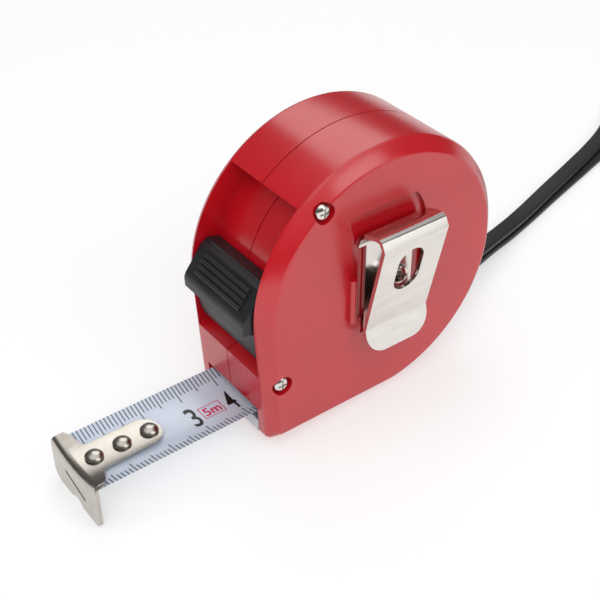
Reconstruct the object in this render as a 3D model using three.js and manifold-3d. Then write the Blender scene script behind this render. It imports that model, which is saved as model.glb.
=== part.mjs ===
// Pocket tape measure, 5 m x 19 mm, with lock button, belt clip and wrist strap.
//
// Frame: millimetres, +Z up, origin on the flat base under the middle of the round case.
// +X points to the back of the case, so the blade runs out along -X.
// -Y is the belt clip side and +Y the plain side; the case splits just past the plane y = 0.

import * as THREE from 'three';
import { mergeVertices } from 'three/addons/utils/BufferGeometryUtils.js';
import Module from 'manifold-3d';

const wasm = await Module();
wasm.setup();

// ---------------------------------------------------------------- driving dimensions

const GAP = 0.3;                    // clearance between pieces that touch

const CASE_RADIUS = 34.3;           // round body, seen from the side
const CASE_CENTRE_Z = 33.7;
const CASE_FRONT_X = -32.2;         // front face of the mouth block
const CASE_CORNER = 1.6;            // radius of the lower front corner
const HALF_THICKNESS = 15.8;        // side faces are at y = +-15.8
const SEAM_Y = { clipSide: 0.3, farSide: 0.6 };   // where each shell ends at the split
const RIM_Y = 12.2;                 // the cylindrical rim ends here and the bevel begins
const BEVEL_ROUND = 3.5;            // how far the bevel steps in, on the round part
const BEVEL_FRONT = 1.9;            // ... on the front face
const BEVEL_BASE = 3.0;             // ... on the base

const CHANNEL_RADIUS = 27.8;        // floor of the lock button's channel
const CHANNEL_HALF = 12.2;
const CHANNEL_TOP_DEG = 131;
const CHANNEL_BOTTOM_DEG = 203.6;
const FORK_START_DEG = 233;          // below here the tongue splits round the hook's rivets
const TONGUE_END_DEG = 241.5;

const SPINDLE_X = 3.0;              // the reel sits a little behind the case's centre
const SPINDLE_Z = 34.6;
const SPINDLE_RADIUS = 3.0;
const CHAMBER_RADIUS = 28.2;
const CHAMBER_HALF = 13.4;

const BLADE_WIDTH = 19;
const BLADE_THICKNESS = 0.3;        // stands in for 0.13 mm steel
const BLADE_SAG = 1.7;              // depth of the curved section
const BLADE_EDGE_Z = 6.85;
const BLADE_ZERO_X = -73.9;         // inside face of the end hook, zero of the scale
const BLADE_RUN_END_X = -30;
const BLADE_LEAD_END_X = 13;
const COIL_OUTER = 27;
const COIL_INNER = 18.8;

const HOOK_THICKNESS = 0.9;
const HOOK_FLOAT = 0.9;              // the hook slides by its own thickness
const HOOK_HALF_WIDTH = 10.4;
const HOOK_BOTTOM_Z = -4.2;
const TONGUE_HALF = 4.4;            // half-width of the hook's riveted tongue
const TONGUE_END_X = -52.6;
const RIVET_X = [-69.4, -62.4, -55.4];
const RIVET_RADIUS = 2.15;
const SHANK_RADIUS = 1.0;

const CLIP_HALF_WIDTH = 9;
const CLIP_THICKNESS = 1.0;

const STRAP_WIDTH = 4.6;
const STRAP_THICKNESS = 1.6;

// ---------------------------------------------------------------- materials

const FINISH = {
  redShell: { color: 0xb5121b, roughness: 0.28, metalness: 0 },
  blackPlastic: { color: 0x24262a, roughness: 0.5, metalness: 0 },
  nickelSteel: { color: 0xcfccc6, roughness: 0.2, metalness: 1 },
  bladeWhite: { color: 0xdfe5f0, roughness: 0.35, metalness: 0 },
  zincPlate: { color: 0xb9b9bb, roughness: 0.4, metalness: 1 },
  springSteel: { color: 0x6d7178, roughness: 0.35, metalness: 1 },
  greyPlastic: { color: 0xc9cacc, roughness: 0.6, metalness: 0 },
};

const part = new THREE.Group();

function addPiece(name, finish, geometry) {
  const mesh = new THREE.Mesh(geometry, new THREE.MeshStandardMaterial(FINISH[finish]));
  mesh.name = name;
  part.add(mesh);
  return mesh;
}

// ---------------------------------------------------------------- solids and booleans

function toManifold(geometry) {
  const bare = geometry.clone();
  bare.deleteAttribute('normal');
  bare.deleteAttribute('uv');
  const merged = mergeVertices(bare, 1e-4);
  return new wasm.Manifold(new wasm.Mesh({
    numProp: 3,
    vertProperties: new Float32Array(merged.attributes.position.array),
    triVerts: new Uint32Array(merged.index.array),
  }));
}

function toGeometry(manifold) {
  const mesh = manifold.getMesh();
  const geometry = new THREE.BufferGeometry();
  const count = mesh.vertProperties.length / mesh.numProp;
  const points = new Float32Array(count * 3);
  for (let i = 0; i < count; i += 1) {
    for (let k = 0; k < 3; k += 1) points[3 * i + k] = mesh.vertProperties[mesh.numProp * i + k];
  }
  geometry.setAttribute('position', new THREE.BufferAttribute(points, 3));
  geometry.setIndex(new THREE.BufferAttribute(new Uint32Array(mesh.triVerts), 1));
  geometry.computeVertexNormals();
  return geometry;
}

function cut(base, ...tools) {
  let solid = toManifold(base);
  for (const tool of tools) solid = solid.subtract(toManifold(tool));
  return toGeometry(solid);
}

function join(base, ...others) {
  let solid = toManifold(base);
  for (const other of others) solid = solid.add(toManifold(other));
  return toGeometry(solid);
}

function common(base, tool) {
  return toGeometry(toManifold(base).intersect(toManifold(tool)));
}

// A box between two corners.
function box(x0, x1, y0, y1, z0, z1) {
  const geometry = new THREE.BoxGeometry(x1 - x0, y1 - y0, z1 - z0);
  return geometry.translate((x0 + x1) / 2, (y0 + y1) / 2, (z0 + z1) / 2);
}

// A shape drawn with x as X and y as Z, carried along Y from y0 to y1.
function slabY(shape, y0, y1, curveSegments = 16) {
  const geometry = new THREE.ExtrudeGeometry(shape, { depth: y1 - y0, bevelEnabled: false, curveSegments });
  return geometry.rotateX(Math.PI / 2).translate(0, y1, 0);
}

// A shape drawn with x as Y and y as Z, carried along X from x0 to x1.
function slabX(shape, x0, x1, curveSegments = 16) {
  const geometry = new THREE.ExtrudeGeometry(shape, { depth: x1 - x0, bevelEnabled: false, curveSegments });
  const turn = new THREE.Matrix4().makeBasis(
    new THREE.Vector3(0, 1, 0),
    new THREE.Vector3(0, 0, 1),
    new THREE.Vector3(1, 0, 0),
  );
  return geometry.applyMatrix4(turn).translate(x0, 0, 0);
}

// A shape drawn in X and Y, carried along Z from z0 to z1.
function slabZ(shape, z0, z1, curveSegments = 16) {
  const geometry = new THREE.ExtrudeGeometry(shape, { depth: z1 - z0, bevelEnabled: false, curveSegments });
  return geometry.translate(0, 0, z0);
}

// A round piece on an axis along Y through (x, z), from a profile of [radius, y] pairs.
function turned(profile, x, z, segments = 32) {
  const points = profile.map(([radius, y]) => new THREE.Vector2(radius, y));
  return new THREE.LatheGeometry(points, segments).translate(x, 0, z);
}

function cylinderY(radius, y0, y1, x, z, segments = 32) {
  return turned([[0, y0], [radius, y0], [radius, y1], [0, y1]], x, z, segments);
}

// Triangles that close a ring of points: by its outline in X and Z, or as a plain fan.
const outlineCaps = (ring) => (
  THREE.ShapeUtils.triangulateShape(ring.map((p) => new THREE.Vector2(p.x, p.z)), []));
const fanCaps = (ring) => ring.slice(2).map((p, i) => [0, i + 1, i + 2]);

// A closed skin over rings of matching points, with a cap on the first and the last ring.
function loft(rings, caps = outlineCaps) {
  const count = rings[0].length;
  const points = rings.flat();
  const faces = [];
  for (let r = 0; r + 1 < rings.length; r += 1) {
    for (let i = 0; i < count; i += 1) {
      const a = r * count + i;
      const b = r * count + ((i + 1) % count);
      faces.push(a, b, b + count, a, b + count, a + count);
    }
  }
  const last = (rings.length - 1) * count;
  for (const [a, b, c] of caps(rings[0])) {
    faces.push(c, b, a, a + last, b + last, c + last);
  }
  const geometry = new THREE.BufferGeometry();
  const coordinates = points.flatMap((p) => [p.x, p.y, p.z]);
  geometry.setAttribute('position', new THREE.Float32BufferAttribute(coordinates, 3));
  geometry.setIndex(faces);
  return geometry;
}

// ---------------------------------------------------------------- case outline

// The case's side view as points: the big circle, cut by the front face and the base.
// inset runs from 0 on the rim to 1 on the side face.
function caseOutline(inset) {
  const radius = CASE_RADIUS - BEVEL_ROUND * inset;
  const front = -CASE_FRONT_X - BEVEL_FRONT * inset;
  const base = BEVEL_BASE * inset;
  const drop = CASE_CENTRE_Z - base;
  const start = -Math.acos(Math.min(1, Math.sqrt(radius ** 2 - drop ** 2) / radius));
  // The front face runs down from where it leaves the round body as a tangent.
  const cornerDrop = drop - CASE_CORNER;
  const end = Math.PI + Math.atan2(cornerDrop, front) - Math.acos(radius / Math.hypot(front, cornerDrop));
  const arcSteps = 96;
  const cornerSteps = 5;
  const points = [];
  for (let i = 0; i <= arcSteps; i += 1) {
    const angle = start + ((end - start) * i) / arcSteps;
    points.push([radius * Math.cos(angle), CASE_CENTRE_Z + radius * Math.sin(angle)]);
  }
  for (let i = 0; i <= cornerSteps; i += 1) {
    const angle = Math.PI + (Math.PI / 2) * (i / cornerSteps);
    points.push([
      -front + CASE_CORNER + CASE_CORNER * Math.cos(angle),
      base + CASE_CORNER + CASE_CORNER * Math.sin(angle),
    ]);
  }
  return points;
}

// Half of the case as a full block, from the seam out to its side face.
function caseHalf(side) {
  const seam = side > 0 ? SEAM_Y.farSide : -SEAM_Y.clipSide;
  const steps = [[seam, 0], [RIM_Y, 0], [13.1, 0.1], [15.4, 0.76], [HALF_THICKNESS, 1]];
  const order = side > 0 ? [...steps].reverse() : steps;
  const ring = ([y, inset]) => caseOutline(inset).map(([x, z]) => new THREE.Vector3(x, side * y, z));
  return loft(order.map(ring));
}

// A sector of a ring about the case's centre, between two angles in degrees.
function sector(inner, outer, fromDeg, toDeg) {
  const from = THREE.MathUtils.degToRad(fromDeg);
  const to = THREE.MathUtils.degToRad(toDeg);
  const shape = new THREE.Shape();
  shape.absarc(0, CASE_CENTRE_Z, outer, from, to, false);
  shape.absarc(0, CASE_CENTRE_Z, inner, to, from, true);
  shape.closePath();
  return shape;
}

// ---------------------------------------------------------------- case shells

const UPPER_SCREW = { x: -18.0, z: 58.4 };
const LOWER_SCREW = { x: -29.2, z: 17.2 };
const SCREW_SEAT_Y = -14.1;
const STRAP_PIN = { x: 23.5, z: 12.7 };

function shellCuts() {
  const chamber = cylinderY(CHAMBER_RADIUS, -CHAMBER_HALF, CHAMBER_HALF, SPINDLE_X, SPINDLE_Z, 72);
  const channel = slabY(
    sector(CHANNEL_RADIUS, 44, CHANNEL_TOP_DEG, CHANNEL_BOTTOM_DEG), -CHANNEL_HALF, CHANNEL_HALF, 28);
  const tongueSlot = slabY(sector(28.3, 31.3, CHANNEL_BOTTOM_DEG - 2, 244), -7.2, 7.2, 16);
  const bladeWay = box(-40, BLADE_LEAD_END_X + 2.6, -10.3, 10.3, 4.05, 8.3);
  const lip = box(-40, -25.5, -10.1, 10.1, 3.3, 8.3);
  const lipFace = box(-40, -31.6, -10.1, 10.1, 0.3, 8.3);
  const notch = cylinderY(2.2, -20, 20, -8.3, -1.0, 24);
  const strapWay = strapOpening();
  return [chamber, channel, tongueSlot, bladeWay, lip, lipFace, notch, strapWay];
}

// The wrist strap's way out: a slot between the shells, low at the back.
function strapOpening() {
  const shape = new THREE.Shape();
  shape.moveTo(19.2, 12.2);
  shape.lineTo(34.6, -1.4);
  shape.lineTo(39.8, 5.0);
  shape.lineTo(24.8, 18.6);
  shape.closePath();
  return slabY(shape, -3.6, 3.6);
}

function screwHoles(shankRadius, seat) {
  return [UPPER_SCREW, LOWER_SCREW].flatMap(({ x, z }) => [
    cylinderY(shankRadius, -17, 11.2, x, z, 24),
    ...(seat ? [cylinderY(2.45, -17, SCREW_SEAT_Y, x, z, 28)] : []),
  ]);
}

// A ring round the spindle's hole, inside a shell.
function spindleBoss(y0, y1) {
  const bore = SPINDLE_RADIUS + GAP;
  const corners = [[bore, y0], [5.6, y0], [5.6, y1], [bore, y1]];
  return turned([...corners, corners[0]], SPINDLE_X, SPINDLE_Z, 28);
}

const pinSocket = cylinderY(1.9, -11, 11, STRAP_PIN.x, STRAP_PIN.z, 20);

function clipSideShell() {
  const outline = new THREE.Shape();
  outline.moveTo(-7.4, 22);
  outline.lineTo(10.4, 22);
  outline.lineTo(10.4, 48.5);
  outline.quadraticCurveTo(9.6, 52.2, 7.3, 54.6);
  outline.lineTo(-11.2, 54.6);
  outline.quadraticCurveTo(-10.8, 46.0, -9.5, 38.6);
  outline.lineTo(-9.3, 30);
  outline.quadraticCurveTo(-9.2, 27.4, -7.4, 26.4);
  outline.closePath();
  const pocket = slabY(outline, -17, -HALF_THICKNESS + 1.0, 8);
  const clipScrewHole = cylinderY(1.6, -17, 0, SPINDLE_X, SPINDLE_Z, 24);
  const boss = spindleBoss(-14, -12.4);
  const guideRib = join(
    box(-11.3, -9.6, -16.6, -15.2, 27.0, 38.8), cylinderZ(0.85, 27.0, 38.8, -10.45, -16.5, 16));
  const bare = cut(caseHalf(-1), ...shellCuts(), ...screwHoles(1.6, true), pocket, clipScrewHole);
  return join(bare, boss, guideRib);
}

function farSideShell() {
  const labelRecess = cylinderY(19, HALF_THICKNESS - 0.4, 17, 0, CASE_CENTRE_Z, 64);
  const boss = spindleBoss(12.4, 14);
  const bare = cut(caseHalf(1), ...shellCuts(), ...screwHoles(1.5, false), labelRecess, pinSocket);
  return join(bare, boss);
}

addPiece('clip_side_shell', 'redShell', cut(clipSideShell(), pinSocket));
addPiece('far_side_shell', 'redShell', farSideShell());

// ---------------------------------------------------------------- mouth wear plate

function mouthWearPlate() {
  const shape = new THREE.Shape();
  shape.moveTo(-32.2, 0.6);
  shape.lineTo(-31.9, 0.6);
  shape.lineTo(-31.9, 3.6);
  shape.lineTo(-25.9, 3.6);
  shape.lineTo(-25.9, 3.95);
  shape.lineTo(-31.9, 3.95);
  shape.absarc(-31.9, 3.65, 0.3, Math.PI / 2, Math.PI, false);
  shape.closePath();
  return slabY(shape, -9.8, 9.8);
}

addPiece('mouth_wear_plate', 'zincPlate', mouthWearPlate());

// ---------------------------------------------------------------- lock button

// The button rides in the channel on an arc about the case's centre.
// Its hood stands proud, and its tongue reaches down inside onto the blade.
function lockButton() {
  const half = CHANNEL_HALF - 0.5;
  const inner = CHANNEL_RADIUS + GAP;
  const body = slabY(sector(inner, 31.6, 163, CHANNEL_BOTTOM_DEG - 1), -half, half, 20);
  const shape = new THREE.Shape();
  shape.moveTo(-27.4, 41.4);
  shape.lineTo(-30.0, 42.4);
  shape.lineTo(-31.6, 41.9);
  shape.lineTo(-36.1, 36.0);
  shape.quadraticCurveTo(-36.7, 35.1, -36.7, 34.2);
  shape.lineTo(-36.6, 32.2);
  shape.lineTo(-33.6, 31.4);
  shape.lineTo(-33.2, 26.6);
  shape.lineTo(-32.6, 24.0);
  shape.lineTo(-31.9, 22.2);
  shape.lineTo(-30.2, 21.6);
  shape.lineTo(-28.4, 30);
  shape.lineTo(-28.3, 36);
  shape.closePath();
  const hood = slabY(shape, -half, half);
  const tongue = slabY(sector(28.8, 30.9, 195, TONGUE_END_DEG), -6.7, 6.7, 14);
  const forkGap = slabY(sector(28, 32, FORK_START_DEG, 250), -4.9, 4.9, 6);
  const ribs = [];
  for (let i = 0; i < 4; i += 1) {
    const t = (i + 1) / 5;
    const x = THREE.MathUtils.lerp(-31.6, -36.1, t);
    const z = THREE.MathUtils.lerp(41.9, 36.0, t);
    ribs.push(cylinderY(0.55, -half + 3, half - 3, x, z, 10));
  }
  return join(body, hood, cut(tongue, forkGap), ...ribs);
}

addPiece('lock_button', 'blackPlastic', lockButton());

// ---------------------------------------------------------------- blade

// The blade's curved section, hollow side up, as a strip of even thickness.
function bladeSection(halfWidth, thickness) {
  const halfBlade = BLADE_WIDTH / 2;
  const radius = (halfBlade ** 2 + BLADE_SAG ** 2) / (2 * BLADE_SAG);
  const centreZ = BLADE_EDGE_Z - BLADE_SAG + radius;
  const spread = Math.asin(halfWidth / radius);
  const low = -Math.PI / 2 - spread;
  const high = -Math.PI / 2 + spread;
  const shape = new THREE.Shape();
  shape.absarc(0, centreZ, radius + thickness / 2, low, high, false);
  shape.absarc(0, centreZ, radius - thickness / 2, high, low, true);
  shape.closePath();
  return shape;
}

function bladeStrip(x0, x1) {
  return slabX(bladeSection(BLADE_WIDTH / 2, BLADE_THICKNESS), x0, x1, 18);
}

function cylinderZ(radius, z0, z1, x, y, segments = 24) {
  return new THREE.CylinderGeometry(radius, radius, z1 - z0, segments)
    .rotateX(Math.PI / 2)
    .translate(x, y, (z0 + z1) / 2);
}

const rivetHoles = RIVET_X.map((x) => cylinderZ(SHANK_RADIUS + GAP, 0, 12, x, 0));
addPiece('blade_run', 'bladeWhite', cut(bladeStrip(BLADE_ZERO_X + 0.6, BLADE_RUN_END_X), ...rivetHoles));
addPiece('blade_lead', 'bladeWhite', bladeStrip(BLADE_RUN_END_X + GAP, BLADE_LEAD_END_X));

// ---------------------------------------------------------------- end hook and rivets

const BLADE_LOW_Z = BLADE_EDGE_Z - BLADE_SAG;     // middle of the blade's section
const TONGUE_Z = BLADE_LOW_Z + BLADE_THICKNESS / 2 + GAP;

// The hook is one bent sheet: a tongue that follows the blade's curve, a rounded bend and an upright plate.
function endHook() {
  const halfBlade = BLADE_WIDTH / 2;
  const radius = (halfBlade ** 2 + BLADE_SAG ** 2) / (2 * BLADE_SAG);
  const rings = [];
  for (let i = 0; i <= 20; i += 1) {
    const y = HOOK_HALF_WIDTH * (i / 10 - 1);
    const rise = radius - Math.sqrt(radius ** 2 - y ** 2);
    rings.push(hookSection(TONGUE_Z + rise).map(([x, z]) => new THREE.Vector3(x, -y, z)));
  }
  const sheet = loft(rings);
  const narrowed = common(sheet, slabZ(tongueOutline(), -9, 15, 10));
  const trimmed = common(narrowed, slabX(plateOutline(), -80, -45, 10));
  const slots = RIVET_X.map((x) => {
    const shape = new THREE.Shape();
    shape.absarc(x + HOOK_FLOAT, 0, SHANK_RADIUS + 0.35, -Math.PI / 2, Math.PI / 2, false);
    shape.absarc(x, 0, SHANK_RADIUS + 0.35, Math.PI / 2, 1.5 * Math.PI, false);
    shape.closePath();
    return slabZ(shape, 2, 12, 10);
  });
  return cut(trimmed, ...slots);
}

// Side view of the sheet, with the tongue's underside at the height given.
function hookSection(undersideZ) {
  const bend = 0.9;
  const centreX = BLADE_ZERO_X + bend;
  const centreZ = undersideZ - bend;
  const section = new THREE.Shape();
  section.moveTo(TONGUE_END_X + 1, undersideZ);
  section.absarc(centreX, centreZ, bend, Math.PI / 2, Math.PI, false);
  section.lineTo(BLADE_ZERO_X, HOOK_BOTTOM_Z - 0.5);
  section.lineTo(BLADE_ZERO_X - HOOK_THICKNESS, HOOK_BOTTOM_Z - 0.5);
  section.absarc(centreX, centreZ, bend + HOOK_THICKNESS, Math.PI, Math.PI / 2, true);
  section.lineTo(TONGUE_END_X + 1, undersideZ + HOOK_THICKNESS);
  const points = section.getPoints(6).map((point) => [point.x, point.y]).reverse();
  const apart = (a, b) => Math.hypot(a[0] - b[0], a[1] - b[1]) > 1e-3;
  return points.filter((point, i) => i === 0 || apart(point, points[i - 1]));
}

// From above: the plate's full width, drawn in by two shoulders to a round-ended tongue.
function tongueOutline() {
  const zero = BLADE_ZERO_X;
  const shape = new THREE.Shape();
  shape.moveTo(zero - 3, -HOOK_HALF_WIDTH);
  shape.lineTo(zero + 0.4, -HOOK_HALF_WIDTH);
  shape.quadraticCurveTo(zero + 3.0, -9.6, zero + 3.8, -TONGUE_HALF - 1.2);
  shape.quadraticCurveTo(zero + 4.2, -TONGUE_HALF, zero + 5.6, -TONGUE_HALF);
  shape.lineTo(TONGUE_END_X - TONGUE_HALF, -TONGUE_HALF);
  shape.absarc(TONGUE_END_X - TONGUE_HALF, 0, TONGUE_HALF, -Math.PI / 2, Math.PI / 2, false);
  shape.lineTo(zero + 5.6, TONGUE_HALF);
  shape.quadraticCurveTo(zero + 4.2, TONGUE_HALF, zero + 3.8, TONGUE_HALF + 1.2);
  shape.quadraticCurveTo(zero + 3.0, 9.6, zero + 0.4, HOOK_HALF_WIDTH);
  shape.lineTo(zero - 3, HOOK_HALF_WIDTH);
  shape.closePath();
  return shape;
}

// From the front: a thumb notch below, and a slit that takes a nail head.
function plateOutline() {
  const w = HOOK_HALF_WIDTH;
  const shape = new THREE.Shape();
  shape.moveTo(-w + 2.6, HOOK_BOTTOM_Z);
  shape.lineTo(-2.4, HOOK_BOTTOM_Z);
  shape.quadraticCurveTo(-1.6, HOOK_BOTTOM_Z + 1.2, 0, HOOK_BOTTOM_Z + 1.2);
  shape.quadraticCurveTo(1.6, HOOK_BOTTOM_Z + 1.2, 2.4, HOOK_BOTTOM_Z);
  shape.lineTo(w - 3.0, HOOK_BOTTOM_Z);
  shape.quadraticCurveTo(w, HOOK_BOTTOM_Z + 0.4, w, HOOK_BOTTOM_Z + 3.2);
  shape.lineTo(w, 5.6);
  shape.quadraticCurveTo(w, 7.6, w - 1.6, 9.0);
  shape.lineTo(-w + 1.6, 9.0);
  shape.quadraticCurveTo(-w, 7.6, -w, 5.6);
  shape.lineTo(-w, HOOK_BOTTOM_Z + 2.2);
  shape.quadraticCurveTo(-w, HOOK_BOTTOM_Z, -w + 2.6, HOOK_BOTTOM_Z);
  const slit = new THREE.Path();
  slit.moveTo(-4.4, -0.6);
  slit.lineTo(4.4, 1.6);
  slit.lineTo(4.4, 2.4);
  slit.lineTo(-4.4, 0.2);
  slit.closePath();
  shape.holes.push(slit);
  return shape;
}

addPiece('end_hook', 'nickelSteel', endHook());

// Rivets: a domed head above the hook's tongue, a shank, and a flat tail under the blade.
RIVET_X.forEach((x, i) => {
  const headZ = TONGUE_Z + HOOK_THICKNESS + 0.2;
  const tailZ = BLADE_LOW_Z - BLADE_THICKNESS / 2 - GAP;
  const profile = [
    [0, tailZ - 0.35], [1.9, tailZ - 0.35], [1.9, tailZ], [SHANK_RADIUS, tailZ], [SHANK_RADIUS, headZ],
    [RIVET_RADIUS, headZ], [RIVET_RADIUS, headZ + 0.3], [1.8, headZ + 0.75],
    [1.2, headZ + 1.05], [0, headZ + 1.2],
  ].map(([radius, z]) => new THREE.Vector2(radius, z));
  const rivet = new THREE.LatheGeometry(profile, 24).rotateX(Math.PI / 2).translate(x, 0, 0);
  addPiece(`hook_rivet_${i + 1}`, 'nickelSteel', rivet);
});

// ---------------------------------------------------------------- reel

const onSpindle = (profile, segments) => turned(profile, SPINDLE_X, SPINDLE_Z, segments);

addPiece('reel_drum', 'blackPlastic', onSpindle([
  [16.8, -9.6], [18.3, -9.6], [18.3, 9.6], [20.5, 9.6], [20.5, 10.8], [3.6, 10.8], [3.6, 9.6], [16.8, 9.6],
  [16.8, -9.6],
], 48));
addPiece('spring_cover', 'blackPlastic', onSpindle([
  [3.6, -11.2], [20.5, -11.2], [20.5, -10.0], [3.6, -10.0], [3.6, -11.2],
], 48));
addPiece('blade_coil', 'bladeWhite', onSpindle([
  [COIL_INNER, -9.3], [COIL_OUTER, -9.3], [COIL_OUTER, 9.3], [COIL_INNER, 9.3], [COIL_INNER, -9.3],
], 64));
for (const [name, y0] of [['clip_side_liner', -12.3], ['far_side_liner', 11.8]]) {
  addPiece(name, 'greyPlastic', onSpindle([
    [6.2, y0], [27.4, y0], [27.4, y0 + 0.5], [6.2, y0 + 0.5], [6.2, y0],
  ], 48));
}

// The power spring: a flat strip wound in a spiral, from the spindle out to the drum.
function powerSpring() {
  const turns = 9;
  const steps = turns * 22;
  const innerRadius = 4.2;
  const outerRadius = 16.0;
  const thickness = 0.4;
  const at = (i, offset) => {
    const angle = (turns * 2 * Math.PI * i) / steps;
    const radius = innerRadius + ((outerRadius - innerRadius) * i) / steps + offset;
    return new THREE.Vector2(SPINDLE_X + radius * Math.cos(angle), SPINDLE_Z + radius * Math.sin(angle));
  };
  const outline = [];
  for (let i = 0; i <= steps; i += 1) outline.push(at(i, thickness / 2));
  for (let i = steps; i >= 0; i -= 1) outline.push(at(i, -thickness / 2));
  return slabY(new THREE.Shape(outline), -8.8, 8.8);
}

addPiece('power_spring', 'springSteel', powerSpring());

// ---------------------------------------------------------------- spindle and screws

addPiece('spindle', 'zincPlate', cut(
  cylinderY(SPINDLE_RADIUS, -13.3, 13.3, SPINDLE_X, SPINDLE_Z, 28),
  cylinderY(1.5, -14, -3, SPINDLE_X, SPINDLE_Z, 20),
));

// A pan-head screw along Y with a cross recess, head at headY facing -Y.
function panScrew(x, z, headY, headRadius, shankRadius, length) {
  const rise = 1.3;
  const body = turned([
    [0, headY - rise], [headRadius * 0.55, headY - rise + 0.1], [headRadius * 0.9, headY - rise + 0.55],
    [headRadius, headY - 0.3], [headRadius, headY], [shankRadius, headY], [shankRadius, headY + length - 1],
    [0, headY + length],
  ], x, z, 24);
  const arm = headRadius * 0.58;
  const recess = [
    box(x - arm, x + arm, headY - 2, headY - 0.6, z - 0.22, z + 0.22),
    box(x - 0.22, x + 0.22, headY - 2, headY - 0.6, z - arm, z + arm),
  ];
  return cut(body, ...recess);
}

const caseScrew = ({ x, z }) => panScrew(x, z, SCREW_SEAT_Y - GAP, 1.95, 1.2, 24);
addPiece('upper_case_screw', 'nickelSteel', caseScrew(UPPER_SCREW));
addPiece('lower_case_screw', 'nickelSteel', caseScrew(LOWER_SCREW));

// ---------------------------------------------------------------- belt clip

// Side view of the clip as a strip of even thickness: back plate, folded top, front leaf and flared lip.
function clipStrip() {
  const backY = -HALF_THICKNESS + 1.0 - GAP - CLIP_THICKNESS / 2;
  const path = new THREE.Path();
  path.moveTo(backY, 23.5);
  path.lineTo(backY, 46.4);
  path.quadraticCurveTo(backY - 0.2, 49.4, -18.0, 50.3);
  path.lineTo(-20.9, 51.4);
  path.quadraticCurveTo(-21.6, 51.6, -22.3, 51.6);
  path.quadraticCurveTo(-23.1, 51.6, -23.3, 51.2);
  path.lineTo(-24.2, 49.7);
  path.lineTo(-19.1, 25.6);
  path.lineTo(-20.9, 18.6);
  const line = path.getPoints(8).filter((p, i, all) => i === 0 || p.distanceTo(all[i - 1]) > 1e-3);
  const side = (sign) => line.map((p, i) => {
    const before = line[Math.max(0, i - 1)];
    const after = line[Math.min(line.length - 1, i + 1)];
    const along = after.clone().sub(before).normalize();
    const off = (sign * CLIP_THICKNESS) / 2;
    return new THREE.Vector2(p.x - off * along.y, p.y + off * along.x);
  });
  return new THREE.Shape([...side(1), ...side(-1).reverse()]);
}

// Front view of the clip: parallel sides with a rounded lip at the bottom.
function clipFront() {
  const w = CLIP_HALF_WIDTH;
  const shape = new THREE.Shape();
  shape.moveTo(-w, 60);
  shape.lineTo(-w, 24.2);
  shape.absarc(-w + 5, 24.2, 5, Math.PI, 1.5 * Math.PI, false);
  shape.lineTo(w - 5, 19.2);
  shape.absarc(w - 5, 24.2, 5, 1.5 * Math.PI, 2 * Math.PI, false);
  shape.lineTo(w, 60);
  shape.closePath();
  const slot = new THREE.Path();
  slot.absarc(-0.3, 43.6, 3.6, Math.PI, 0, true);
  slot.absarc(-0.3, 38.8, 3.6, 0, Math.PI, true);
  shape.holes.push(slot);
  return shape;
}

function beltClip() {
  const strip = slabX(clipStrip(), -CLIP_HALF_WIDTH, CLIP_HALF_WIDTH);
  const leafTrim = slabY(clipFront(), -30, -17.2, 12);
  const backTrim = join(
    box(-CLIP_HALF_WIDTH, CLIP_HALF_WIDTH, -17.2, -10, 46.4, 60),
    box(-CLIP_HALF_WIDTH + 2.2, CLIP_HALF_WIDTH - 2.2, -17.2, -10, 20, 47));
  const trimmed = common(strip, join(leafTrim, backTrim));
  return cut(trimmed, cylinderY(1.6, -17.2, -12, SPINDLE_X, SPINDLE_Z, 24));
}

addPiece('belt_clip', 'nickelSteel', beltClip());
addPiece('clip_screw', 'nickelSteel', panScrew(
  SPINDLE_X, SPINDLE_Z, -HALF_THICKNESS + 1.0 - 2 * GAP - CLIP_THICKNESS, 2.3, 1.2, 12));

// ---------------------------------------------------------------- wrist strap

addPiece('strap_pin', 'zincPlate', cylinderY(1.6, -10.6, 10.6, STRAP_PIN.x, STRAP_PIN.z, 20));

// The strap's middle line as a loop: out of the case, along the ground, round the end and back.
// The ground it lies on is the plane that the case's heel and the hook's lower edge both touch.
const STRAP_ROUTE = [
  [26.8, 0.4, 13.4], [33.0, 0.7, 11.4], [40.0, 2.0, 9.9], [46.0, 3.7, 9.1], [52.0, 5.4, 8.6], [58.0, 7.2, 8.1],
  [66.0, 9.6, 7.3], [73.0, 11.7, 6.8], [81.0, 14.0, 6.85], [90.0, 16.6, 7.25], [100.0, 19.3, 7.75],
  [109.0, 21.8, 8.2], [118.0, 24.4, 8.7], [128.0, 28.0, 9.2], [138.0, 33.4, 9.0], [147.0, 39.2, 8.4],
  [155.0, 43.6, 8.6], [163.6, 44.6, 9.1], [170.0, 39.2, 9.4], [170.8, 31.4, 9.45], [165.6, 25.6, 9.2],
  [157.0, 23.6, 8.75], [147.0, 24.2, 8.2], [138.0, 24.8, 7.75], [128.0, 24.0, 7.25], [118.0, 22.2, 6.75],
  [109.0, 20.1, 6.25], [100.0, 18.0, 5.8], [90.0, 15.6, 5.3], [81.0, 13.3, 4.9], [73.0, 11.2, 4.8],
  [66.0, 9.1, 5.3], [58.0, 6.9, 6.05], [52.0, 5.1, 6.5], [46.0, 3.3, 6.95], [40.0, 1.6, 7.6],
  [33.0, 0.2, 8.8], [27.6, -0.4, 10.2],
];

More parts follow.
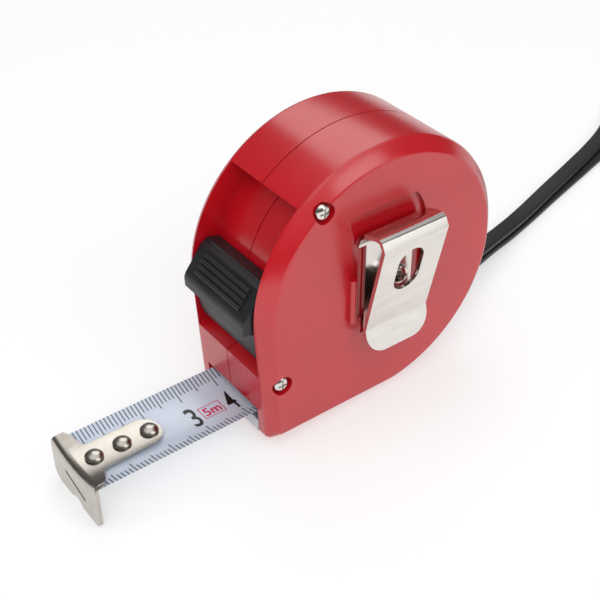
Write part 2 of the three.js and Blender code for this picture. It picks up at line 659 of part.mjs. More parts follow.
function strapRings() {
  const route = new THREE.CatmullRomCurve3(STRAP_ROUTE.map(([x, y, z]) => new THREE.Vector3(x, y, z)));
  const w = STRAP_WIDTH / 2;
  const t = STRAP_THICKNESS / 2;
  const corner = 0.35;
  const section = new THREE.Shape([
    [-w + corner, -t], [w - corner, -t], [w, -t + corner], [w, t - corner],
    [w - corner, t], [-w + corner, t], [-w, t - corner], [-w, -t + corner],
  ].map(([a, b]) => new THREE.Vector2(a, b)));
  const steps = 78;
  const rings = [];
  for (let i = 0; i <= steps; i += 1) {
    const p = route.getPointAt(i / steps);
    const along = route.getTangentAt(i / steps);
    const across = new THREE.Vector3(-along.y, along.x, 0).normalize();
    const up = new THREE.Vector3().crossVectors(along, across).normalize();
    rings.push(section.getPoints(1).slice(0, 8).map((s) => (
      p.clone().addScaledVector(across, s.x).addScaledVector(up, s.y))));
  }
  return rings;
}

addPiece('wrist_strap', 'blackPlastic', loft(strapRings(), fanCaps));

export default part;
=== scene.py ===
"""Looks for a pocket tape measure: red moulded case, black lock button, nickel-plated belt clip and end hook,
printed steel blade and a flat vinyl wrist strap. Metres throughout, in the frame of the CAD part."""

import math

import bmesh
import bpy
import numpy as np
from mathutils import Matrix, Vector


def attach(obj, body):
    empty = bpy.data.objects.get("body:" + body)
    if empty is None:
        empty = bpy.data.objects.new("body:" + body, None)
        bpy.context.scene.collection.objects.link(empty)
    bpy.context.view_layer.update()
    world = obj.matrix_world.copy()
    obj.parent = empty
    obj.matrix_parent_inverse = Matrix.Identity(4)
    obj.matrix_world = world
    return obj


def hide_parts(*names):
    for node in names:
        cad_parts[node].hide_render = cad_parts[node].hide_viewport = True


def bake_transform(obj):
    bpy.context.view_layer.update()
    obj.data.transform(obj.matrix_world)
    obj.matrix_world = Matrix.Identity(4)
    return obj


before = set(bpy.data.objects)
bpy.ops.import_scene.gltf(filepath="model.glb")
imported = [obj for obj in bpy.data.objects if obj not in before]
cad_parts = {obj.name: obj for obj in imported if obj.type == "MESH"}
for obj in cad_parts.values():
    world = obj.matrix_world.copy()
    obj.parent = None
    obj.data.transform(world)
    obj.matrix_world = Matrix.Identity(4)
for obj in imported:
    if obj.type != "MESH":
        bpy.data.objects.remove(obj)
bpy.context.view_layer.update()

MM = 0.001

# ------------------------------------------------------------------ the object's own measures, in millimetres

CASE_CENTRE_Z = 33.7
BLADE_WIDTH, BLADE_SAG, BLADE_EDGE_Z = 19.0, 1.7, 6.85
BLADE_ZERO_X, BLADE_RUN_END_X, BLADE_LEAD_END_X = -73.9, -30.0, 13.0
BLADE_TRAVEL_OUT = 40.0
HOOK_THICKNESS = 0.9
HOOK_BOTTOM_Z = -4.2
REST_EDGE_X = 6.4                       # back edge of the flat base
FLOOR_SLOPE = -HOOK_BOTTOM_Z / (REST_EDGE_X - BLADE_ZERO_X + HOOK_THICKNESS)

# ------------------------------------------------------------------ small helpers


def linear(hex_colour):
    """An sRGB hex colour as linear RGBA."""
    rgb = np.array([int(hex_colour[i:i + 2], 16) for i in (1, 3, 5)]) / 255.0
    lin = np.where(rgb <= 0.04045, rgb / 12.92, ((rgb + 0.055) / 1.055) ** 2.4)
    return (*lin.tolist(), 1.0)


def add_node(tree, kind, links=None, **settings):
    """Adds a node. links maps an input's name or number to a socket or a value."""
    made = tree.nodes.new(kind)
    for key, value in settings.items():
        setattr(made, key, value)
    for key, value in (links or {}).items():
        if isinstance(value, bpy.types.NodeSocket):
            tree.links.new(value, made.inputs[key])
        else:
            made.inputs[key].default_value = value
    return made


def new_material(name, **surface):
    """A material with one Principled shader, its constants set straight on the sockets."""
    material = bpy.data.materials.new(name)
    material.use_nodes = True
    tree = material.node_tree
    shader = tree.nodes["Principled BSDF"]
    for key, value in surface.items():
        shader.inputs[key.replace("_", " ")].default_value = value
    return material, tree, shader


def maths(tree, operation, a, b=0.0):
    return add_node(tree, "ShaderNodeMath", {0: a, 1: b}, operation=operation).outputs[0]


def object_noise(tree, size_mm, detail=2.0, roughness=0.5):
    """Noise whose lumps are about size_mm across, on Object coordinates."""
    place = add_node(tree, "ShaderNodeTexCoord").outputs["Object"]
    return add_node(tree, "ShaderNodeTexNoise", {
        "Vector": place, "Scale": 1000.0 / size_mm, "Detail": detail, "Roughness": roughness})


def ramp(tree, value, stops):
    """A colour ramp; stops are (position, linear colour)."""
    made = add_node(tree, "ShaderNodeValToRGB", {"Fac": value})
    made.color_ramp.elements[0].position, made.color_ramp.elements[0].color = stops[0]
    made.color_ramp.elements[1].position, made.color_ramp.elements[1].color = stops[-1]
    for position, colour in stops[1:-1]:
        made.color_ramp.elements.new(position).color = colour
    return made.outputs["Color"]


def span(tree, value, low, high):
    """value, from 0 to 1, spread over low to high."""
    made = add_node(tree, "ShaderNodeMapRange", {"Value": value, "To Min": low, "To Max": high})
    return made.outputs["Result"]


def bump(tree, shader, height, depth_mm):
    made = add_node(tree, "ShaderNodeBump", {
        "Height": height, "Distance": depth_mm * MM, "Strength": 1.0})
    tree.links.new(made.outputs["Normal"], shader.inputs["Normal"])


def tinted(tree, shader, pattern, dark, light):
    """Base colour from dark to light, two sRGB hex values, as the pattern goes from 0.3 to 0.7."""
    colour = ramp(tree, pattern, [(0.3, linear(dark)), (0.7, linear(light))])
    tree.links.new(colour, shader.inputs["Base Color"])


def grain(tree, shader, size_mm, depth_mm, rough_low, rough_high, patch_mm=6.0):
    """Fine surface grain as bump, and slow patches of roughness."""
    bump(tree, shader, object_noise(tree, size_mm).outputs[0], depth_mm)
    patches = object_noise(tree, patch_mm, detail=3.0).outputs[0]
    tree.links.new(span(tree, patches, rough_low, rough_high), shader.inputs["Roughness"])


# ------------------------------------------------------------------ materials

# ABS, injection moulded in a polished tool: a deep clear red with a soft gloss, wavy over 1 to 2 mm.
RED_ABS, tree, shader = new_material("red_abs_polished_moulding", IOR=1.53, Specular_IOR_Level=0.85)
tone = object_noise(tree, 18.0, detail=2.0).outputs[0]
tinted(tree, shader, tone, "#B40C18", "#BD101D")
grain(tree, shader, 1.4, 0.004, 0.2, 0.27)

# Polypropylene, moulded in a spark-eroded tool: near black, satin, with a fine grit about 0.35 mm across.
BLACK_PP, tree, shader = new_material("black_polypropylene_satin", IOR=1.49)
tone = object_noise(tree, 9.0).outputs[0]
tinted(tree, shader, tone, "#17181B", "#202124")
grain(tree, shader, 0.35, 0.008, 0.4, 0.5)

# Steel strip, stamped, bent and nickel plated: bright and a little warm, with faint streaks from rolling.
# Real ones are a few hundredths of a millimetre apart. Here the pattern changes about every 0.5 mm of depth
# and 8 mm along the sheet, so that it shows.
NICKEL, tree, shader = new_material("nickel_plated_steel", Metallic=1.0)
place = add_node(tree, "ShaderNodeTexCoord").outputs["Object"]
along = add_node(tree, "ShaderNodeMapping", {
    "Vector": place, "Scale": (60.0, 900.0, 60.0)}).outputs["Vector"]
streaks = add_node(tree, "ShaderNodeTexNoise", {"Vector": along, "Scale": 2.0, "Detail": 3.0}).outputs[0]
tinted(tree, shader, streaks, "#D9D4CE", "#E4E0DB")
tree.links.new(span(tree, streaks, 0.1, 0.2), shader.inputs["Roughness"])
bump(tree, shader, streaks, 0.002)

# The same plating on the hook and rivets, darker and duller than on the clip, mottled in patches of 2 to 3
# mm.
HOOK_NICKEL, tree, shader = new_material("warm_nickel_plated_steel", Metallic=1.0)
mottle = object_noise(tree, 2.5, detail=3.0).outputs[0]
tinted(tree, shader, mottle, "#B6B0A7", "#C2BCB4")
tree.links.new(span(tree, mottle, 0.2, 0.3), shader.inputs["Roughness"])
bump(tree, shader, mottle, 0.004)

# Zinc-plated steel, barrel finished: pale grey with a dull sheen, mottled by the barrel at about 1 mm.
ZINC, tree, shader = new_material("zinc_plated_steel", Metallic=0.9)
mottle = object_noise(tree, 1.2, detail=4.0).outputs[0]
tinted(tree, shader, mottle, "#B9B9BB", "#CFCFD0")
tree.links.new(span(tree, mottle, 0.32, 0.45), shader.inputs["Roughness"])
bump(tree, shader, mottle, 0.006)

# Blued spring strip, cold rolled: dark steel, mottled at about 0.8 mm by the heat that blues it.
SPRING_STEEL, tree, shader = new_material("blued_spring_strip", Metallic=1.0)
mottle = object_noise(tree, 0.8, detail=3.0).outputs[0]
tinted(tree, shader, mottle, "#4C5560", "#66707C")
tree.links.new(span(tree, mottle, 0.28, 0.4), shader.inputs["Roughness"])
bump(tree, shader, mottle, 0.004)

# Acetal disc, moulded: milky grey and waxy, with a 0.8 mm texture.
GREY_ACETAL, tree, shader = new_material("grey_acetal_disc", IOR=1.48)
mottle = object_noise(tree, 5.0).outputs[0]
tinted(tree, shader, mottle, "#C4C6C8", "#D2D3D4")
grain(tree, shader, 0.8, 0.006, 0.45, 0.55)

# Soft PVC strip, extruded flat and matt: black, with a dull sheen and draw lines along it about 0.4 mm apart.
STRAP_PVC, tree, shader = new_material("black_soft_pvc_strip", IOR=1.52)
sheet_place = add_node(tree, "ShaderNodeUVMap", uv_map="strap").outputs["UV"]
drawn = add_node(tree, "ShaderNodeMapping", {
    "Vector": sheet_place, "Scale": (60.0, 2600.0, 1.0)}).outputs["Vector"]
lines = add_node(tree, "ShaderNodeTexNoise", {"Vector": drawn, "Scale": 1.0, "Detail": 2.0}).outputs[0]
tinted(tree, shader, lines, "#141416", "#1C1C1F")
tree.links.new(span(tree, lines, 0.42, 0.55), shader.inputs["Roughness"])
bump(tree, shader, lines, 0.01)


def print_material(name, colour):
    """Offset ink on lacquer: flat, with a faint 0.5 mm mottle and the lacquer's sheen."""
    material, tree, shader = new_material(name, IOR=1.5)
    mottle = object_noise(tree, 0.5).outputs[0]
    dark, light = linear(colour), tuple(min(1.0, 1.15 * c + 0.004) for c in linear(colour)[:3]) + (1.0,)
    tree.links.new(ramp(tree, mottle, [(0.35, dark), (0.7, light)]), shader.inputs["Base Color"])
    tree.links.new(span(tree, mottle, 0.3, 0.38), shader.inputs["Roughness"])
    return material


BLACK_INK = print_material("black_ink_under_film", "#17181C")
MAGENTA_INK = print_material("magenta_ink_under_film", "#C01455")


def tick_mask(tree, position, inwards, every_mm, length_mm, half_width_mm):
    """1 on a line every every_mm along the scale that starts at the blade's edge and is length_mm long."""
    turns = maths(tree, "ADD", maths(tree, "DIVIDE", position, every_mm), 0.5)
    off = maths(tree, "ABSOLUTE", maths(tree, "SUBTRACT", maths(tree, "FRACT", turns), 0.5))
    on_line = maths(tree, "LESS_THAN", off, half_width_mm / every_mm)
    return maths(tree, "MULTIPLY", on_line, maths(tree, "LESS_THAN", inwards, length_mm))


# Spring steel, white lacquered, printed and coated with a clear film that leaves a faint 0.9 mm ripple.
# Its UV map is in metres: U along the scale from the hook, V across from the middle.
BLADE_PRINT, tree, shader = new_material(
    "printed_blade_lacquer", IOR=1.5, Coat_Weight=0.3, Coat_Roughness=0.12)
blade_uv = add_node(tree, "ShaderNodeUVMap", uv_map="scale").outputs["UV"]
split = add_node(tree, "ShaderNodeSeparateXYZ", {0: blade_uv})
scale_mm = maths(tree, "MULTIPLY", split.outputs[0], 1000.0)
across_mm = maths(tree, "MULTIPLY", split.outputs[1], 1000.0)
from_far_edge = maths(tree, "SUBTRACT", BLADE_WIDTH / 2, across_mm)
from_near_edge = maths(tree, "ADD", BLADE_WIDTH / 2, across_mm)
ink = 0.0
for inwards, lengths in ((from_far_edge, (3.1, 4.1, 5.1)), (from_near_edge, (2.3, 3.1, 3.8))):
    for every, length in zip((1.0, 5.0, 10.0), lengths):
        ink = maths(tree, "MAXIMUM", ink, tick_mask(tree, scale_mm, inwards, every, length, 0.13))
# The scale is blank for its first half millimetre.
ink = maths(tree, "MULTIPLY", ink, maths(tree, "GREATER_THAN", scale_mm, 0.5))
clouds = object_noise(tree, 12.0).outputs[0]
lacquer = ramp(tree, clouds, [(0.3, linear("#BFC9D9")), (0.7, linear("#C9D2E0"))])
mixed = add_node(tree, "ShaderNodeMix", {0: ink, 6: lacquer, 7: linear("#1B2230")}, data_type="RGBA")
tree.links.new(mixed.outputs[2], shader.inputs["Base Color"])
grain(tree, shader, 0.9, 0.003, 0.26, 0.34)

# ------------------------------------------------------------------ meshes


def link_mesh(name, mesh, material, body, replaces=()):
    piece = bpy.data.objects.new(name, mesh)
    bpy.context.scene.collection.objects.link(piece)
    mesh.materials.clear()
    mesh.materials.append(material)
    if body:
        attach(piece, body)
    if replaces:
        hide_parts(*replaces)
    return piece


def mesh_from(points_mm, faces, name):
    """A mesh from an (n, 3) array of millimetres and a list or array of faces."""
    mesh = bpy.data.meshes.new(name)
    mesh.from_pydata((np.asarray(points_mm) * MM).tolist(), [], np.asarray(faces).tolist()
                     if isinstance(faces, np.ndarray) else faces)
    mesh.validate()
    return mesh


def grid_faces(rows, columns, wrap_columns=False):
    """Quads of a rows by columns grid of points, numbered row by row."""
    last_column = columns if wrap_columns else columns - 1
    r, c = np.meshgrid(np.arange(rows - 1), np.arange(last_column), indexing="ij")
    r1, c1 = r + 1, (c + 1) % columns
    quads = np.stack([r * columns + c, r * columns + c1, r1 * columns + c1, r1 * columns + c], -1)
    return quads.reshape(-1, 4)


def outward(mesh):
    """Turns every face of a closed mesh outwards."""
    work = bmesh.new()
    work.from_mesh(mesh)
    bmesh.ops.remove_doubles(work, verts=work.verts, dist=1e-7)
    bmesh.ops.recalc_face_normals(work, faces=work.faces)
    work.to_mesh(mesh)
    work.free()


def smooth_by_angle(mesh, degrees):
    """Smooth shading, with edges sharper than the angle kept sharp."""
    mesh.shade_smooth()
    work = bmesh.new()
    work.from_mesh(mesh)
    for edge in work.edges:
        edge.smooth = len(edge.link_faces) == 2 and edge.calc_face_angle(0.0) < math.radians(degrees)
    work.to_mesh(mesh)
    work.free()


def freeze(piece):
    """Applies the piece's modifiers to its mesh."""
    graph = bpy.context.evaluated_depsgraph_get()
    graph.update()
    made = bpy.data.meshes.new_from_object(
        piece.evaluated_get(graph), preserve_all_data_layers=True, depsgraph=graph)
    piece.modifiers.clear()
    old, piece.data = piece.data, made
    bpy.data.meshes.remove(old)


def set_levels(piece, kind, **settings):
    made = piece.modifiers.new(kind.lower(), kind)
    for key, value in settings.items():
        setattr(made, key, value)
    return made


def from_cad(name, node, material, body, edge_mm, sharp_deg=32.0, segments=3):
    """The CAD node's own shape with its flats cleaned, its edges rounded and smooth shading."""
    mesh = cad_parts[node].data.copy()
    work = bmesh.new()
    work.from_mesh(mesh)
    bmesh.ops.remove_doubles(work, verts=work.verts, dist=2e-6)
    bmesh.ops.dissolve_limit(work, angle_limit=math.radians(0.6), verts=work.verts, edges=work.edges)
    work.to_mesh(mesh)
    work.free()
    piece = link_mesh(name, mesh, material, body, (node,))
    if edge_mm:
        set_levels(piece, "BEVEL", width=edge_mm * MM, segments=segments, limit_method="ANGLE",
                   angle_limit=math.radians(sharp_deg), harden_normals=False, use_clamp_overlap=True,
                   miter_outer="MITER_ARC")
        freeze(piece)
    smooth_by_angle(piece.data, sharp_deg)
    set_levels(piece, "WEIGHTED_NORMAL", keep_sharp=True, weight=60)
    return piece


# ------------------------------------------------------------------ camera

CAMERA_AZIMUTH, CAMERA_ELEVATION = math.radians(-36.71), math.radians(37.41)
CAMERA_AIM_MM, CAMERA_DISTANCE_MM, CAMERA_LENS = Vector((-12.80, 0.0, 24.25)), 267.4, 68.35
back = Vector((math.sin(CAMERA_AZIMUTH) * math.cos(CAMERA_ELEVATION),
               -math.cos(CAMERA_AZIMUTH) * math.cos(CAMERA_ELEVATION), math.sin(CAMERA_ELEVATION)))
camera = bpy.data.objects.new("camera", bpy.data.cameras.new("camera"))
bpy.context.scene.collection.objects.link(camera)
bpy.context.scene.camera = camera
camera.data.sensor_width, camera.data.lens = 36.0, CAMERA_LENS
camera.data.clip_start, camera.data.clip_end = 0.01, 10.0
camera.location = (CAMERA_AIM_MM + back * CAMERA_DISTANCE_MM) * MM
camera.rotation_mode = "QUATERNION"
camera.rotation_quaternion = (-back).to_track_quat("-Z", "Y")

# ------------------------------------------------------------------ wrist strap

STRAP_WIDTH_MM, STRAP_THICKNESS_MM = 4.6, 1.6
STRAP_ROUTE_MM = np.array([
    [26.8, 0.4, 13.4], [33.0, 0.7, 11.4], [40.0, 2.0, 9.9], [46.0, 3.7, 9.1], [52.0, 5.4, 8.6],
    [58.0, 7.2, 8.1],
    [66.0, 9.6, 7.3], [73.0, 11.7, 6.8], [81.0, 14.0, 6.85], [90.0, 16.6, 7.25], [100.0, 19.3, 7.75],
    [109.0, 21.8, 8.2], [118.0, 24.4, 8.7], [128.0, 28.0, 9.2], [138.0, 33.4, 9.0], [147.0, 39.2, 8.4],
    [155.0, 43.6, 8.6], [163.6, 44.6, 9.1], [170.0, 39.2, 9.4], [170.8, 31.4, 9.45], [165.6, 25.6, 9.2],
    [157.0, 23.6, 8.75], [147.0, 24.2, 8.2], [138.0, 24.8, 7.75], [128.0, 24.0, 7.25], [118.0, 22.2, 6.75],
    [109.0, 20.1, 6.25], [100.0, 18.0, 5.8], [90.0, 15.6, 5.3], [81.0, 13.3, 4.9], [73.0, 11.2, 4.8],
    [66.0, 9.1, 5.3], [58.0, 6.9, 6.05], [52.0, 5.1, 6.5], [46.0, 3.3, 6.95], [40.0, 1.6, 7.6],
    [33.0, 0.2, 8.8], [27.6, -0.4, 10.2],
])


def smooth_route(points, count):
    """Points evenly spaced on the centripetal Catmull-Rom curve through the given points."""
    p = np.vstack([2 * points[0] - points[1], points, 2 * points[-1] - points[-2]])
    steps = np.linspace(0, 1, 24, endpoint=False)[:, None]
    made = []
    for a, b, c, d in zip(p[:-3], p[1:-2], p[2:-1], p[3:]):
        knots = np.cumsum([0.0] + [np.linalg.norm(v) ** 0.5 for v in (b - a, c - b, d - c)])
        t = knots[1] + (knots[2] - knots[1]) * steps
        ab = (knots[1] - t) / (knots[1] - knots[0]) * a + (t - knots[0]) / (knots[1] - knots[0]) * b
        bc = (knots[2] - t) / (knots[2] - knots[1]) * b + (t - knots[1]) / (knots[2] - knots[1]) * c
        cd = (knots[3] - t) / (knots[3] - knots[2]) * c + (t - knots[2]) / (knots[3] - knots[2]) * d
        abc = (knots[2] - t) / (knots[2] - knots[0]) * ab + (t - knots[0]) / (knots[2] - knots[0]) * bc
        bcd = (knots[3] - t) / (knots[3] - knots[1]) * bc + (t - knots[1]) / (knots[3] - knots[1]) * cd
        made.append((knots[2] - t) / (knots[2] - knots[1]) * abc
                    + (t - knots[1]) / (knots[2] - knots[1]) * bcd)
    dense = np.vstack(made + [points[-1:]])
    length = np.concatenate([[0], np.cumsum(np.linalg.norm(np.diff(dense, axis=0), axis=1))])
    even = np.linspace(0, length[-1], count)
    return np.stack([np.interp(even, length, dense[:, k]) for k in range(3)], -1), length[-1]


def make_strap():
    """A flat strip carried along the route: a rounded rectangle, its wide way level, 300 rings."""
    route, length = smooth_route(STRAP_ROUTE_MM, 300)
    along = np.gradient(route, axis=0)
    along /= np.linalg.norm(along, axis=1)[:, None]
    side = np.stack([-along[:, 1], along[:, 0], 0 * along[:, 0]], -1)
    side /= np.linalg.norm(side, axis=1)[:, None]
    up = np.cross(along, side)
    corner, steps = 0.55, 6
    turn = np.linspace(0, np.pi / 2, steps)
    half_w, half_t = STRAP_WIDTH_MM / 2 - corner, STRAP_THICKNESS_MM / 2 - corner
    rounds = ((1, 1, 0), (-1, 1, np.pi / 2), (-1, -1, np.pi), (1, -1, 1.5 * np.pi))
    ring = np.concatenate([
        np.stack([sx * half_w + corner * np.cos(turn + start),
                  sy * half_t + corner * np.sin(turn + start)], -1) for sx, sy, start in rounds])
    points = (route[:, None, :] + ring[None, :, :1] * side[:, None, :] + ring[None, :, 1:] * up[:, None, :])
    rows, columns = points.shape[:2]
    faces = grid_faces(rows, columns, wrap_columns=True).tolist()
    faces += [list(range(columns)), list(range((rows - 1) * columns, rows * columns))]
    mesh = mesh_from(points.reshape(-1, 3), faces, "wrist_strap_strip")
    outward(mesh)
    smooth_by_angle(mesh, 50)
    uv = mesh.uv_layers.new(name="strap")
    owner = np.empty(len(mesh.loops), np.int32)
    mesh.loops.foreach_get("vertex_index", owner)
    girth = np.concatenate([[0], np.cumsum(np.linalg.norm(np.diff(ring, axis=0), axis=1))])
    u = (owner // columns) / rows * length * MM
    v = girth[owner % columns] * MM
    uv.data.foreach_set("uv", np.stack([u, v], -1).ravel())
    piece = link_mesh("wrist_strap_strip", mesh, STRAP_PVC, "case", ("wrist_strap",))


make_strap()

# ------------------------------------------------------------------ case, button and plates

from_cad("clip_side_shell_moulding", "clip_side_shell", RED_ABS, "case", 0.35)
from_cad("far_side_shell_moulding", "far_side_shell", RED_ABS, "case", 0.35)
from_cad("mouth_wear_plate_pressing", "mouth_wear_plate", ZINC, "case", 0.08)
from_cad("lock_button_moulding", "lock_button", BLACK_PP, "lock", 0.4)
from_cad("belt_clip_pressing", "belt_clip", NICKEL, "case", 0.15, sharp_deg=18.0)
from_cad("end_hook_pressing", "end_hook", HOOK_NICKEL, "hook", 0.12)
for name in ("upper_case_screw", "lower_case_screw", "clip_screw"):
    from_cad(name + "_turned", name, NICKEL, "case", 0.06)
for i in (1, 2, 3):
    from_cad(f"hook_rivet_{i}_headed", f"hook_rivet_{i}", HOOK_NICKEL, "blade", 0.06)

# The hidden pieces keep the frame's own shapes.
for node, material in (
        ("spindle", ZINC), ("strap_pin", ZINC), ("reel_drum", BLACK_PP), ("spring_cover", BLACK_PP),
        ("power_spring", SPRING_STEEL), ("clip_side_liner", GREY_ACETAL),
        ("far_side_liner", GREY_ACETAL), ("blade_coil", ZINC)):
    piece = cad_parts[node]
    piece.data.materials.clear()
    piece.data.materials.append(material)

# ------------------------------------------------------------------ blade

ARC_RADIUS = ((BLADE_WIDTH / 2) ** 2 + BLADE_SAG ** 2) / (2 * BLADE_SAG)
BLADE_SKIN_MM = 0.14                    # thickness of the steel with its lacquer
PRINT_LIFT_MM = 0.03                    # how far the ink stands off the lacquer
BLADE_START_X = BLADE_ZERO_X + 0.6      # the blade stops short of the hook's bend


def blade_height(y):
    """Height of the blade's upper face at y: a circular arc, hollow side up."""
    return BLADE_EDGE_Z - BLADE_SAG + ARC_RADIUS - np.sqrt(ARC_RADIUS ** 2 - y ** 2)


def pulled_out(x):
    """Where a point of the lead lies along X when the blade is fully out."""
    t = np.clip((BLADE_LEAD_END_X - x) / (BLADE_LEAD_END_X - BLADE_RUN_END_X), 0, 1)
    return x - BLADE_TRAVEL_OUT * t * t * (3 - 2 * t)


def make_blade(name, x, scale, replaces):
    """A curved strip: a ring of points round its upper and lower skins at each x, and a cap at each end."""
    y = np.linspace(-BLADE_WIDTH / 2, BLADE_WIDTH / 2, 41)
    ring_y = np.concatenate([y, y[::-1]])
    ring_z = np.concatenate([blade_height(y), blade_height(y[::-1]) - BLADE_SKIN_MM])
    points = np.stack([np.repeat(x[:, None], len(ring_y), 1), np.repeat(ring_y[None], len(x), 0),
                       np.repeat(ring_z[None], len(x), 0)], -1)
    rows, columns = points.shape[:2]
    faces = grid_faces(rows, columns, wrap_columns=True).tolist()
    faces += [list(range(columns)), list(range((rows - 1) * columns, rows * columns))]
    mesh = mesh_from(points.reshape(-1, 3), faces, name)
    outward(mesh)
    smooth_by_angle(mesh, 40)
    uv = mesh.uv_layers.new(name="scale")
    owner = np.empty(len(mesh.loops), np.int32)
    mesh.loops.foreach_get("vertex_index", owner)
    u, v = scale[owner // columns] * MM, ring_y[owner % columns] * MM
    uv.data.foreach_set("uv", np.stack([u, v], -1).ravel())
    return link_mesh(name, mesh, BLADE_PRINT, None, (replaces,))


run_x = np.linspace(BLADE_START_X, BLADE_RUN_END_X, 45)
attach(make_blade("blade_run_strip", run_x, run_x - BLADE_ZERO_X, "blade_run"), "blade")
lead_x = np.linspace(BLADE_RUN_END_X, BLADE_LEAD_END_X, 61)
lead_scale = pulled_out(lead_x) - BLADE_ZERO_X + BLADE_TRAVEL_OUT
lead = make_blade("blade_lead_strip", lead_x, lead_scale, "blade_lead")
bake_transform(lead)


def printed(name, text, scale_mm, middle_y, height_mm, width_mm, weight_mm, material, on_lead=False):
    """A numeral laid on the blade: a flat outline, cut into narrow strips and bent to the blade's arc.
    Its top points to +Y."""
    curve = bpy.data.curves.new(name, "FONT")
    curve.body, curve.align_x, curve.align_y, curve.size = text, "CENTER", "CENTER", 1.0
    curve.offset = weight_mm / height_mm * 0.7
    curve.resolution_u = 6
    flat = bpy.data.objects.new(name, curve)
    bpy.context.scene.collection.objects.link(flat)
    graph = bpy.context.evaluated_depsgraph_get()
    graph.update()
    mesh = bpy.data.meshes.new_from_object(flat.evaluated_get(graph))
    bpy.data.objects.remove(flat)
    work = bmesh.new()
    work.from_mesh(mesh)
    bmesh.ops.triangulate(work, faces=work.faces)
    co = np.array([v.co[:2] for v in work.verts])
    low, high = co.min(0), co.max(0)
    for level in np.linspace(low[1], high[1], 14)[1:-1]:
        bmesh.ops.bisect_plane(work, geom=work.verts[:] + work.edges[:] + work.faces[:],
                               plane_co=(0, level, 0), plane_no=(0, 1, 0), dist=1e-5)
    for vertex in work.verts:
        u = (vertex.co.x - (low[0] + high[0]) / 2) / (high[0] - low[0]) * width_mm
        v = (vertex.co.y - (low[1] + high[1]) / 2) / (high[1] - low[1]) * height_mm
        y = middle_y + v
        x = BLADE_ZERO_X + scale_mm + u
        if on_lead:
            x = np.interp(x - BLADE_TRAVEL_OUT, pulled_out(lead_x), lead_x)
        vertex.co = Vector((x, y, blade_height(y) + PRINT_LIFT_MM)) * MM
    bmesh.ops.recalc_face_normals(work, faces=work.faces)
    if work.faces and work.faces[0].normal.z < 0:
        bmesh.ops.reverse_faces(work, faces=work.faces)
    work.to_mesh(mesh)
    work.free()
    piece = link_mesh(name, mesh, material, None if on_lead else "blade")
    if on_lead:
        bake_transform(piece)


for n in range(3, 9):
    printed(f"numeral_{n}", str(n), 10.0 * n - 0.5, -1.4, 7.0, 2.4, 0.1, BLACK_INK, on_lead=n >= 5)
printed("length_mark", "5m", 34.4, -1.5, 2.9, 4.4, 0.1, MAGENTA_INK)


def box_mark(name, scale_mm, middle_y, width_mm, height_mm, line_mm):
    """A thin rectangular frame printed on the blade."""
    w, h = width_mm / 2, height_mm / 2
    side = np.linspace(-1, 1, 15)[:-1]
    ones = np.ones(len(side))
    corners = ((side, -ones), (ones, side), (-side, ones), (-ones, -side))
    loop = np.concatenate([np.stack(pair, -1) for pair in corners])
    outer, inner = loop * [w, h], loop * [w - line_mm, h - line_mm]
    flat = np.stack([outer, inner])
    x, y = BLADE_ZERO_X + scale_mm + flat[..., 0], middle_y + flat[..., 1]
    points = np.stack([x, y, blade_height(y) + PRINT_LIFT_MM], -1)
    faces = grid_faces(2, len(loop), wrap_columns=True)
    link_mesh(name, mesh_from(points.reshape(-1, 3), faces, name), MAGENTA_INK, "blade")


box_mark("length_mark_frame", 34.4, -1.5, 5.7, 4.3, 0.22)

# ------------------------------------------------------------------ floor, light and world


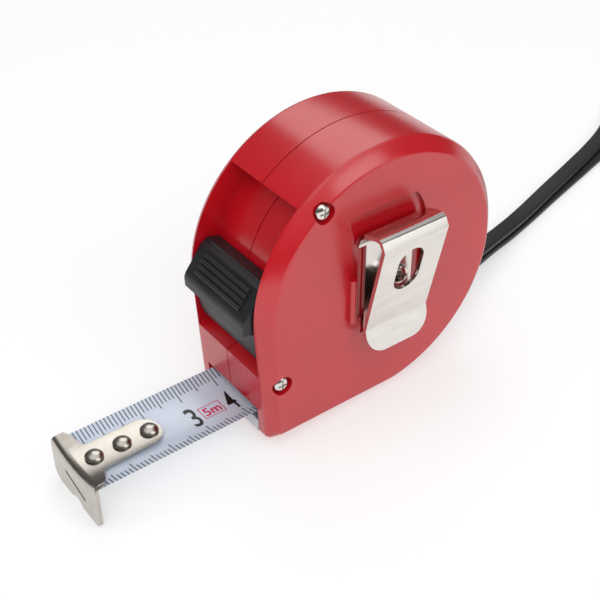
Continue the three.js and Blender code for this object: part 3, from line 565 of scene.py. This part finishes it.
def make_floor():
    """The plane that the case's heel and the hook's lower edge rest on, just under them. Paper that glows a
    little, as it does when lit from below, keeps the shadows faint."""
    reach = 2000.0 * np.array([[-1, -1], [1, -1], [1, 1], [-1, 1]])
    z = FLOOR_SLOPE * (reach[:, 0] - REST_EDGE_X) - 0.05
    mesh = mesh_from(np.column_stack([reach, z]), [[0, 1, 2, 3]], "floor")
    material, _, _ = new_material("white_paper_floor", Base_Color=(0.5, 0.5, 0.5, 1), Roughness=0.7,
                                  Emission_Color=(1, 1, 1, 1), Emission_Strength=0.49)
    piece = bpy.data.objects.new("floor", mesh)
    mesh.materials.append(material)
    bpy.context.scene.collection.objects.link(piece)


make_floor()


def softbox(name, direction, distance_mm, size_mm, radiance, mirrored=True):
    """A rectangular diffuser facing the case, whose front has that radiance. Unmirrored, it only fills."""
    light = bpy.data.lights.new(name, "AREA")
    light.shape, light.size, light.size_y = "RECTANGLE", size_mm[0] * MM, size_mm[1] * MM
    light.energy = radiance * math.pi * light.size * light.size_y
    lamp = bpy.data.objects.new(name, light)
    bpy.context.scene.collection.objects.link(lamp)
    out_from_case = Vector(direction).normalized()
    lamp.location = (out_from_case * distance_mm + Vector((0, 0, CASE_CENTRE_Z))) * MM
    lamp.rotation_mode = "QUATERNION"
    lamp.rotation_quaternion = out_from_case.to_track_quat("Z", "Y")
    lamp.visible_glossy = mirrored


softbox("back_softbox", (0.36, 0.62, 0.72), 700, (430, 360), 1.75)
softbox("front_softbox", (0.2, -0.7, 0.68), 700, (440, 300), 2.2)
softbox("clip_strip_light", (0.47, -0.83, 0.32), 700, (280, 200), 1.4)
softbox("fill_by_the_mouth", (-0.85, 0.45, 0.3), 700, (400, 400), 1.8, mirrored=False)
softbox("fill_by_the_camera", (-0.5, -0.6, 0.62), 800, (600, 600), 2.8, mirrored=False)

# A dim horizon that brightens overhead, like a ceiling of diffusers over a table.
world = bpy.data.worlds.new("studio")
bpy.context.scene.world = world
world.use_nodes = True
tree = world.node_tree
upwards = add_node(tree, "ShaderNodeTexCoord").outputs["Generated"]
height = add_node(tree, "ShaderNodeSeparateXYZ", {0: upwards})
sky = ramp(tree, height.outputs[2], [(level, (value, value, value, 1)) for level, value in (
    (0.0, 0.08), (0.3, 0.12), (0.62, 0.15), (0.76, 0.3), (0.86, 0.95), (1.0, 1.3))])
tree.links.new(sky, tree.nodes["Background"].inputs["Color"])
tree.nodes["Background"].inputs["Strength"].default_value = 1.0
bpy.context.scene.view_settings.view_transform = "Standard"
